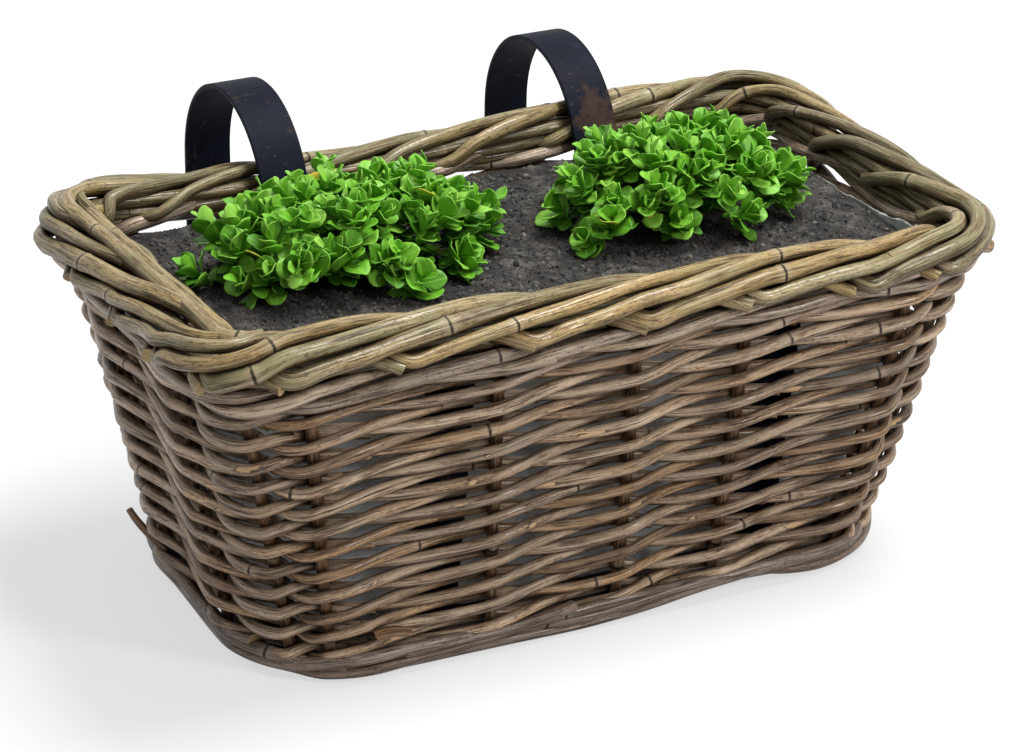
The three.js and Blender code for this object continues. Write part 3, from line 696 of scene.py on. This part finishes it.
def hanger(name, x):
    third = 0.33 * (FRONT_Y - FOOT_Y)
    line = [(-FRONT_Y, FRONT_TOP), (-FRONT_Y + third, 120), (-FOOT_Y - third, 60)]
    angle = np.linspace(0, pi / 2, 9)
    corner = list(zip(FOOT_Y - BEND * (1 - np.sin(angle)), FOOT_Z + BEND * (1 - np.cos(angle))))
    line += [(-y, z) for y, z in corner[::-1]] + corner
    for a in np.linspace(pi, 0, 49):
        line.append((REAR_Y + HOOK_R + HOOK_R * cos(a), HOOK_Z + HOOK_R * sin(a)))
    line += [(REAR_Y + 2 * HOOK_R, LEG_END + 20), (REAR_Y + 2 * HOOK_R, LEG_END)]
    pts = evenly(np.array([(0.0, y + SHIFT, z) for y, z in line]), 3.0)
    out = np.cross([1.0, 0, 0], unit(np.gradient(pts, axis=0)))
    h, t, e = HANGER_W / 2, HALF_T, 0.5
    section = [(-h + e, -t), (h - e, -t), (h, -t + e), (h, t - e)]
    section += [(-sx, -so) for sx, so in section]
    verts = np.stack([pts + np.array([x + sx, 0, 0]) + so * out for sx, so in section], 1)
    index = np.arange(verts.size // 3).reshape(verts.shape[:2])
    faces = tube_faces(index)[:, ::-1].tolist() + [index[0].tolist(), index[-1][::-1].tolist()]
    piece = make_mesh(name + "_strip", verts.reshape(-1, 3), faces)
    piece.modifiers.new("edges", "EDGE_SPLIT").split_angle = radians(30)
    settle(piece, steel_mat, "basket", name)


# A worn spot low on the right hook, in metres
RUST_PLACE = (0.121, (REAR_Y + SHIFT) * MM + 0.006, 0.218)
s = Shader("hanger_steel")
pos = s.position()
broad = s.noise(pos, 28.0, 4.0, 0.6)
fine = s.stretched(pos, (900.0, 240.0, 240.0), 3.0, 0.6)
scratch = s.stretched(pos, (160.0, 900.0, 60.0), 2.0, 0.4, 1.5)
rust = s.noise(pos, 55.0, 5.0, 0.7)
base = s.ramp(broad, (0.3, srgb(6, 10, 18)), (0.55, srgb(13, 18, 30)), (0.75, srgb(32, 38, 50)))
base = s.tint(base, s.step(scratch, 0.66, 0.78), 0.3, srgb(92, 92, 94))
patch = s.node("VectorMath", pos, RUST_PLACE, settings={"operation": "DISTANCE"}).outputs["Value"]
worn = s.plus(rust, s.times(s.step(patch, 0.034, 0.008), 0.22))
base = s.tint(base, s.step(worn, 0.6, 0.72), 0.55, srgb(74, 54, 44))
base = s.tint(base, s.step(worn, 0.74, 0.84), 0.45, srgb(112, 88, 72))
rough = s.plus(0.42, s.times(broad, 0.3))
relief = s.bump(s.plus(fine, s.times(rust, 0.8)), 0.0004, 0.5)
steel_mat = s.surface(Base_Color=base, Roughness=rough, Metallic=0.0, Specular_IOR_Level=0.07, Normal=relief)
hanger("hanger_left", HANGER_X[0])
hanger("hanger_right", HANGER_X[1])


# The bag fits inside the wall and folds round the hangers. side is -1 at the front and 1 at the rear.
def inner_face(side, height):
    """How far from the middle a hanger's inner face stands."""
    top, top_y = (FRONT_TOP, FRONT_Y) if side < 0 else (HOOK_Z, REAR_Y)
    bottom = FOOT_Z + BEND
    share = (min(height, top) - bottom) / (top - bottom)
    return FOOT_Y * (1 - share) + top_y * share - HALF_T


def bag(height, inset):
    return within(height, WALL_DEPTH + BORDER_REACH + BAG_GAP + inset)


def bag_depth(x, height, inset, side):
    """How far from the middle the bag reaches at a place along the basket."""
    length, width, radius = bag(height, inset)
    past = np.clip(np.abs(x) - (length - radius), 0, radius)
    depth = width - radius + np.sqrt(radius ** 2 - past ** 2)
    folded = inner_face(side, height) - BAG_GAP - inset
    for hx in HANGER_X:
        half = HANGER_W / 2 + BAG_GAP + inset
        near = np.clip((np.abs(x - hx) - half) / 5.0, 0, 1)
        depth = np.minimum(depth, folded + (depth - folded) * near * near * (3 - 2 * near))
    return depth


def bag_loop(height, inset):
    """Points round the bag, anticlockwise from the front's left corner."""
    length, width, radius = bag(height, inset)
    x = np.linspace(-1, 1, 140)
    x = np.sign(x) * (1 - (1 - np.abs(x)) ** 1.15) * length
    front = np.stack([x, -bag_depth(x, height, inset, -1)], -1)
    back = np.stack([x[::-1], bag_depth(x[::-1], height, inset, 1)], -1)
    end = np.linspace(-1, 1, 70)[1:-1] * (width - radius)
    right = columns(end.shape, length, end)
    return np.vstack([front, right, back, -right])


# Soil: loose dark compost with clods and pale specks
SOIL_Z, SOIL_INSET = 193.0, 2.2
SWELL, SWELL_X, SWELL_Y = 3.0, 118.0, 96.0
nx, ny = 330, 170
u, v = np.linspace(-1, 1, nx), np.linspace(-1, 1, ny)


def soil_point(across, deep, x_inset, height, inset):
    """A place of the soil from its shares of the bag's half length and half width."""
    x = across * (bag(height, x_inset)[0] - 0.3)
    depth = np.where(deep < 0, bag_depth(x, height, inset, -1), bag_depth(x, height, inset, 1))
    return x, deep * depth


def ground(x, y):
    """The soil's surface swells gently, in flat facets between the places of a coarse grid."""
    gx, gy = np.linspace(-RIM[0] / 2, RIM[0] / 2, 14), np.linspace(-RIM[1] / 2, RIM[1] / 2, 8)
    level = SOIL_Z - SWELL * (1 - np.cos(2 * pi * gx / SWELL_X)[:, None] * np.cos(2 * pi * gy / SWELL_Y)) / 2
    px, py = np.interp(x, gx, np.arange(14)), np.interp(y, gy, np.arange(8))
    ix, iy = np.minimum(px.astype(int), 12), np.minimum(py.astype(int), 6)
    fx, fy = px - ix, py - iy
    low = level[ix, iy] * (1 - fx) + level[ix + 1, iy] * fx
    return low * (1 - fy) + (level[ix, iy + 1] * (1 - fx) + level[ix + 1, iy + 1] * fx) * fy


def field(X, Y, scale, octaves, seed):
    places = [Vector((x / scale + seed, y / scale - seed, seed * 0.7)) for x, y in zip(X, Y)]
    return np.array([noise.fractal(place, 0.7, 2.1, octaves) for place in places])


X, Y = soil_point(np.repeat(u, ny), np.tile(v, nx), 2.0, SOIL_Z, SOIL_INSET)
lumps, grain = field(X, Y, 11, 4, 8.1), field(X, Y, 2.2, 3, 5.7)
edge = np.minimum(1 - np.abs(u)[:, None], 1 - np.abs(v)[None]).ravel()
Z = ground(X, Y) - 0.9 + 1.5 * np.abs(lumps) + grain + 1.2 * np.exp(-edge * 22)
top = np.stack([X, Y + SHIFT, Z], -1)
index = np.arange(nx * ny).reshape(nx, ny)
faces = sheet_faces(index.T).tolist()
rim = np.concatenate([index[:, 0], index[-1, 1:-1], index[::-1, -1], index[0, -2:0:-1]])
verts = [top]
count = len(top)
rings = [rim]
rim_u, rim_v = u[rim // ny], v[rim % ny]
for height in (189.0, 180.0, 160.0, 140.0, 120.0, 90.0, 65.0, 40.0, 21.8):
    # Under the surface the soil keeps clear of the film's creases
    inset = SOIL_INSET if height > 185 else 5.0
    x, y = soil_point(rim_u, rim_v, inset, height, inset)
    verts.append(columns(x.shape, x, y + SHIFT, height))
    rings.append(count + np.arange(len(rim)))
    count += len(rim)
faces += tube_faces(np.array(rings[::-1])).tolist() + [rings[-1][::-1].tolist()]
# look holds the shade and, for pale specks, how pale they are
looks = np.zeros((count, 4))
looks[:, 0] = np.concatenate([np.clip(0.5 + 0.5 * lumps, 0, 1), np.full(count - len(top), 0.4)])

# Clods and specks on the surface, each an uneven body of twenty faces
CLODS, CLOD_MOST, BELT_R, BELT_Z = 12000, 3.0, 0.894, 0.45
rng = rng_for(61)
ring = np.arange(5)
turn = -pi / 5 * (2 * ring + 1)
belts = [columns((5,), BELT_R * np.cos(a), BELT_R * np.sin(a), z)
         for a, z in ((turn, -BELT_Z), (turn - pi / 5, BELT_Z))]
ico = np.round(np.vstack([[(0, 0, -1)], *belts, [(0, 0, 1)]]), 2)
a, b, c, d = 1 + ring, 1 + (ring + 1) % 5, 6 + ring, 6 + (ring - 1) % 5
ico_faces = np.vstack([columns(a.shape, *corners) for corners in ((0, a, b), (b, a, c), (a, d, c), (c, d, 11))])
pick = rng.integers(0, nx * ny, CLODS)
pick = pick[(np.abs(u[pick // ny]) < 0.985) & (np.abs(v[pick % ny]) < 0.97)]
size = np.minimum(0.4 + rng.gamma(1.3, 0.4, len(pick)), CLOD_MOST)
stretch = rng.uniform(0.6, 1.3, (len(pick), 1, 3))
wobble = 1 + rng.uniform(-0.25, 0.25, (len(pick), 12, 1))
aside = np.stack([rng.uniform(-1, 1, len(pick)), rng.uniform(-1, 1, len(pick)), -0.1 * size], -1)
clods = ico[None] * stretch * wobble * size[:, None, None] + top[pick][:, None] + aside[:, None]
verts.append(clods.reshape(-1, 3))
faces += (ico_faces[None] + (count + 12 * np.arange(len(pick)))[:, None, None]).reshape(-1, 3).tolist()
clod_look = np.zeros((len(pick), 12, 4))
clod_look[..., 0] = rng.uniform(0.3, 0.95, (len(pick), 1))
clod_look[..., 1] = (rng.random((len(pick), 1)) < 0.07) * rng.uniform(0.5, 1.0, (len(pick), 1))
looks = np.vstack([looks, clod_look.reshape(-1, 4)])
s = Shader("soil")
lump, speck = s.looks()[:2]
pos = s.position()
grains = s.noise(pos, 900.0, 4.0, 0.7)
broad = s.noise(pos, 60.0, 3.0, 0.6)
shade = s.plus(s.times(lump, 0.45), s.times(grains, 0.6))
base = s.ramp(shade, (0.3, srgb(8, 7, 6)), (0.52, srgb(36, 34, 32)), (0.8, srgb(100, 97, 91)))
base = s.tint(base, s.step(broad, 0.52, 0.72), 0.3, srgb(66, 54, 42))
base = s.tint(base, s.step(grains, 0.66, 0.74), 0.7, srgb(116, 113, 105))
base = s.tint(base, speck, 0.7, srgb(136, 132, 122))
soil_mat = s.surface(Base_Color=base, Roughness=0.9, Normal=s.bump(grains, 0.0012, 0.9))
settle(make_mesh("soil_bed", np.vstack(verts), faces, None, looks), soil_mat, "planting", "soil")

# Liner: thin crumpled film, its edge about level with the soil. It stands higher at two places, each given
# with its height and reach.
FILM_SHOWS = [(-222.0, -62.0, 9.0, 34.0), (222.0, -78.0, 8.0, 26.0)]
levels = np.concatenate([np.linspace(20.0, 180.0, 34), np.linspace(184.0, 200.0, 8)])
loops = np.array([bag_loop(level, 0.4) for level in levels])
shell = columns(loops.shape[:2], loops[..., 0], loops[..., 1] + SHIFT, levels[:, None])
outward = unit((shell - (0, SHIFT, 0)) * (1, 1, 0))
creases = [noise.fractal(Vector((x / 24, y / 24, z / 30)), 0.8, 2.0, 4) for x, y, z in shell.reshape(-1, 3)]
crumple = np.array(creases).reshape(shell.shape[:2])
sharp = np.abs(crumple) ** 0.8
high = np.clip((levels - 188) / 16, 0, 1)[:, None]
shell += outward * (0.9 * crumple - 0.8 * sharp - high * (2.4 + 2.2 * sharp))[..., None]
lift = -9.0 - 5.0 * np.clip((shell[..., 1] - SHIFT) / 60, 0, 1) + 2.2 * crumple
for px, py, amount, reach in FILM_SHOWS:
    lift = lift + amount * np.exp(-((shell[..., 0] - px) ** 2 + (shell[..., 1] - SHIFT - py) ** 2) / reach ** 2)
shell[..., 2] += high * lift
index = np.arange(crumple.size).reshape(crumple.shape)
faces = tube_faces(index).tolist() + [index[0][::-1].tolist()]
# look holds how near the top edge a point lies
looks = columns(crumple.shape, high, 0.0, 0.0, 0.0)
liner_piece = make_mesh("liner_film", shell.reshape(-1, 3), faces, None, looks)
solid = liner_piece.modifiers.new("film", "SOLIDIFY")
solid.thickness = 0.00025
solid.offset = -1
s = Shader("liner_film")
pos = s.position()
top_share = s.looks()[0]
folds = s.noise(pos, 75.0, 5.0, 0.62, 1.2)
patch = s.noise(pos, 22.0, 3.0, 0.6)
base = s.ramp(patch, (0.3, srgb(172, 174, 174)), (0.6, srgb(208, 210, 211)), (0.8, srgb(230, 231, 231)))
base = s.mix(top_share, base, s.ramp(patch, (0.3, srgb(120, 120, 112)), (0.7, srgb(205, 208, 206))))
rough = s.plus(0.14, s.times(folds, 0.2))
film_mat = s.surface(Base_Color=base, Roughness=rough, IOR=1.5, Normal=s.bump(folds, 0.004, 0.9))
settle(liner_piece, film_mat, "planting", "liner")

# Plants: rosettes of small fleshy spoon-shaped leaves
ALONG, ACROSS = 10, 5
WIDEST = 0.64
GOLDEN_ANGLE = 2.39996


def leaf_mesh(size, width, curl, cup):
    """A spoon-shaped leaf with a blunt tip and an uneven, slightly wavy rim."""
    t = 1 - (1 - np.linspace(0, 1, ALONG)) ** 1.5
    tip = np.clip((t - WIDEST) / (1 - WIDEST), 0, 1)
    half = width * (0.13 + 0.87 * np.sin(np.clip(t / WIDEST, 0, 1) ** 1.3 * pi / 2))
    half = half * np.maximum(1 - tip ** 2.1, 0.04) ** 0.6 * (1 + 0.07 * np.sin(19 * t + 31 * cup) * (t > 0.5))
    w = np.linspace(-1, 1, ACROSS)
    bend = curl * t ** 1.6
    step = np.diff(t)
    y = size * np.concatenate([[0], np.cumsum(np.cos(bend[1:]) * step)])
    z = size * np.concatenate([[0], np.cumsum(-np.sin(bend[1:]) * step)])
    wave = 0.035 * size * np.sin(9 * t + 40 * cup)[:, None] * w[None] * np.abs(w[None])
    px = half[:, None] * w[None]
    pz = z[:, None] + cup * np.abs(w[None]) ** 1.6 * half[:, None] + wave
    return columns(px.shape, px, y[:, None], pz).reshape(-1, 3)


LEAF_FACES = sheet_faces(np.arange(ALONG * ACROSS).reshape(ALONG, ACROSS))
LEAF_SIDE = np.abs(np.tile(np.linspace(-1, 1, ACROSS), ALONG))
LEAF_SHARE = np.repeat(np.linspace(0, 1, ALONG), ACROSS)

# A clump's outline swells in lobes, and its height falls off towards the rim
LOBES, LOBE_SHARE = 5, 0.06
DOME_RADIUS_SHARES, DOME_HEIGHT_SHARES = [0, 0.46, 0.76, 0.95, 1], [1, 0.95, 0.79, 0.5, 0.22]


def plant(name, length, width, height, cx, cy, turn, shoots, seed):
    """A clump of shoots over an oval, each a rosette of leaves that open from the tip downwards."""
    rng = rng_for(71, seed)
    verts, faces, looks, count = [], [], [], 0

    def put_leaf(base, direction, up, size, width, curl, cup, tone, yellow):
        nonlocal count
        fwd = unit(direction)
        side = unit(np.cross(fwd, up))
        top = np.cross(side, fwd)
        local = leaf_mesh(size, width, curl, cup)
        verts.append(base + local[:, :1] * side + local[:, 1:2] * fwd + local[:, 2:] * top)
        faces.extend((LEAF_FACES + count).tolist())
        looks.append(columns((len(local),), tone, yellow, LEAF_SIDE, LEAF_SHARE))
        count += len(local)

    for k in range(shoots):
        share = sqrt((k + 0.5) / shoots)
        angle = k * GOLDEN_ANGLE + rng.normal(0, 0.2)
        lobe = share * (1 + LOBE_SHARE * sin(LOBES * angle + turn))
        px = cx + (length / 2 - 8) * lobe * cos(angle) + rng.normal(0, 2.5)
        py = cy + SHIFT + (width / 2 - 8) * lobe * sin(angle) + rng.normal(0, 2.5)
        dome = float(np.interp(share, DOME_RADIUS_SHARES, DOME_HEIGHT_SHARES))
        tip_z = SOIL_Z + max(height * dome - 8 + rng.normal(0, 3.6), 8)
        tip = np.array([px, py, tip_z])
        slope = 1.1 * share ** 2
        lean = unit(np.array([cos(angle) * slope, sin(angle) * slope, 1.0]) + rng.normal(0, 0.2, 3))
        number = int(rng.integers(7, 11))
        scale = rng.uniform(0.85, 1.15)
        for j in range(number):
            age = j / (number - 1)
            around = j * GOLDEN_ANGLE + rng.normal(0, 0.2)
            flat = unit(np.cross(lean, [0.3, 0.9, 0.1]))
            other = np.cross(lean, flat)
            radial = cos(around) * flat + sin(around) * other
            open_angle = radians(10 + 45 * age + rng.normal(0, 9))
            direction = cos(open_angle) * lean + sin(open_angle) * radial
            base = tip - lean * (3 + 15.0 * age)
            size = scale * (12.5 + 7.0 * age) * rng.uniform(0.85, 1.15)
            wide, curl, cup = size * rng.uniform(0.3, 0.41), rng.uniform(0.0, 0.6), rng.uniform(0.04, 0.3)
            tone = rng.uniform(0.2, 1.0) * (0.75 + 0.25 * (1 - age))
            yellow = float(rng.random() < 0.008) * rng.uniform(0.4, 1)
            put_leaf(base, direction, lean * 0.9 - radial * 0.2, size, wide, curl, cup, tone, yellow)
        # Lower leaves along the stem fill the clump's flank
        for j in range(5):
            drop = rng.uniform(10, max(12, tip_z - SOIL_Z - 4))
            around = rng.uniform(0, 2 * pi)
            out = np.array([cos(around), sin(around), rng.uniform(-0.15, 0.5)])
            base = tip - lean * drop
            base[2] = max(base[2], SOIL_Z + 1)
            size, wide, curl = rng.uniform(11, 17), rng.uniform(3.4, 5.4), rng.uniform(0, 0.6)
            tone, yellow = rng.uniform(0.0, 0.5), float(rng.random() < 0.03)
            put_leaf(base, out, np.array([0, 0, 1.0]), size, wide, curl, 0.25, tone, yellow)
    piece = make_mesh(name + "_leaves", np.vstack(verts), faces, None, np.vstack(looks))
    piece.modifiers.new("leaf", "SOLIDIFY").thickness = 0.0005
    settle(piece, leaf_mat, "planting", name)


s = Shader("leaf")
tone, yellow, off_middle, to_tip = s.looks()
pos = s.position()
mottle = s.noise(pos, 260.0, 3.0, 0.6)
shade = s.plus(s.times(tone, 0.7), s.times(mottle, 0.3))
base = s.ramp(shade, (0.1, srgb(42, 98, 10)), (0.5, srgb(104, 168, 38)), (0.95, srgb(144, 190, 80)))
base = s.tint(base, s.step(off_middle, 0.14, 0.0), 0.35, srgb(150, 200, 95))
base = s.tint(base, yellow, s.step(to_tip, 0.3, 0.9), srgb(205, 180, 60))
leaf_mat = s.surface(Base_Color=base, Roughness=0.46, Specular_IOR_Level=0.35, Subsurface_Weight=0.12,
                     Subsurface_Scale=0.002, Subsurface_Radius=(0.6, 1.0, 0.2), Normal=s.bump(mottle, 0.0006, 0.4))
plant("plant_left", 197.0, 132, 56, -99.5, 18, 0.6, 88, 1)
plant("plant_right", 170.0, 122, 60, 105.0, 2, 2.4, 76, 2)

# Floor, light and camera
def show(s, share, lit, seen, output):
    """Camera, glossy and transmission rays see the second shader by a share, other rays the lit one."""
    rays = s.node("LightPath").outputs
    sees = s.math("ADD", rays["Is Camera Ray"], rays["Is Glossy Ray"], True)
    sees = s.math("ADD", sees, rays["Is Transmission Ray"], True)
    mixed = s.node("MixShader", s.times(sees, share), lit.outputs[0], seen.outputs[0])
    s.put(mixed.outputs[0], output)


FLOOR_HALF, FLOOR_Z = 6000, -0.3
corners = [(x * FLOOR_HALF, y * FLOOR_HALF, FLOOR_Z) for x, y in ((-1, -1), (1, -1), (1, 1), (-1, 1))]
floor = make_mesh("floor", corners, [[0, 1, 2, 3]])
s = Shader("floor")
floor.data.materials.append(s.surface(Base_Color=(0.88, 0.885, 0.89, 1), Roughness=0.7))
# The floor that is seen is paler than the lit one, so that the shadow stays faint
far = s.node("VectorMath", s.position(), settings={"operation": "LENGTH"}).outputs["Value"]
share = s.plus(0.62, s.times(s.step(far, 0.6, 2.4), 0.38))
show(s, share, s.bsdf, s.node("Emission", Strength=1.0), s.tree.nodes["Material Output"].inputs[0])

s = Shader("studio", bpy.data.worlds)
scene.world = s.owner
s.tree.nodes.clear()
sky, white = [s.node("Background", *light) for light in (((0.96, 0.98, 1.0, 1), 0.36), ((1, 1, 1, 1), 1.0))]
show(s, 1.0, sky, white, s.node("OutputWorld").inputs[0])


def area(name, place, size, power, colour):
    """A square lamp that looks at the basket."""
    data = bpy.data.lights.new(name, "AREA")
    data.size, data.energy, data.color = size, power, colour
    away = Vector(place) - Vector((0, -0.05, 0.1))
    add_object(name, data).matrix_world = Matrix.Translation(place) @ away.to_track_quat("Z", "Y").to_matrix().to_4x4()


area("over", (0.65, -0.1, 2.35), 1.1, 76, (1.0, 0.99, 0.975))
area("key", (1.2, -2.3, 1.9), 0.5, 34, (1.0, 0.985, 0.96))

# The camera fitted to the rim's and the foot's corners in a frame 1024 pixels wide
FRAME_WIDTH, FOCAL_PIXELS, AWAY = 1024, 3498.485, 1.85
az, el, roll = radians(-27.259149), radians(25.510063), radians(1.0)
back = Vector((sin(az) * cos(el), -cos(az) * cos(el), sin(el)))
side = Vector((cos(az), sin(az), 0))
up = back.cross(side)
right = side * cos(roll) + up * sin(roll)
above = up * cos(roll) - side * sin(roll)
target = Vector((-0.0983325, -0.1879585 + SHIFT * MM, 0.210543))
place = target + back * AWAY
view = Matrix((right, above, back)).transposed().to_4x4()
view.translation = place
camera_data = bpy.data.cameras.new("camera")
camera_data.sensor_width = 36.0
camera_data.lens = FOCAL_PIXELS * camera_data.sensor_width / FRAME_WIDTH
camera_data.clip_end = 60
scene.camera = add_object("camera", camera_data)
scene.camera.matrix_world = view
scene.view_settings.view_transform = "Standard"

bpy.context.view_layer.update()
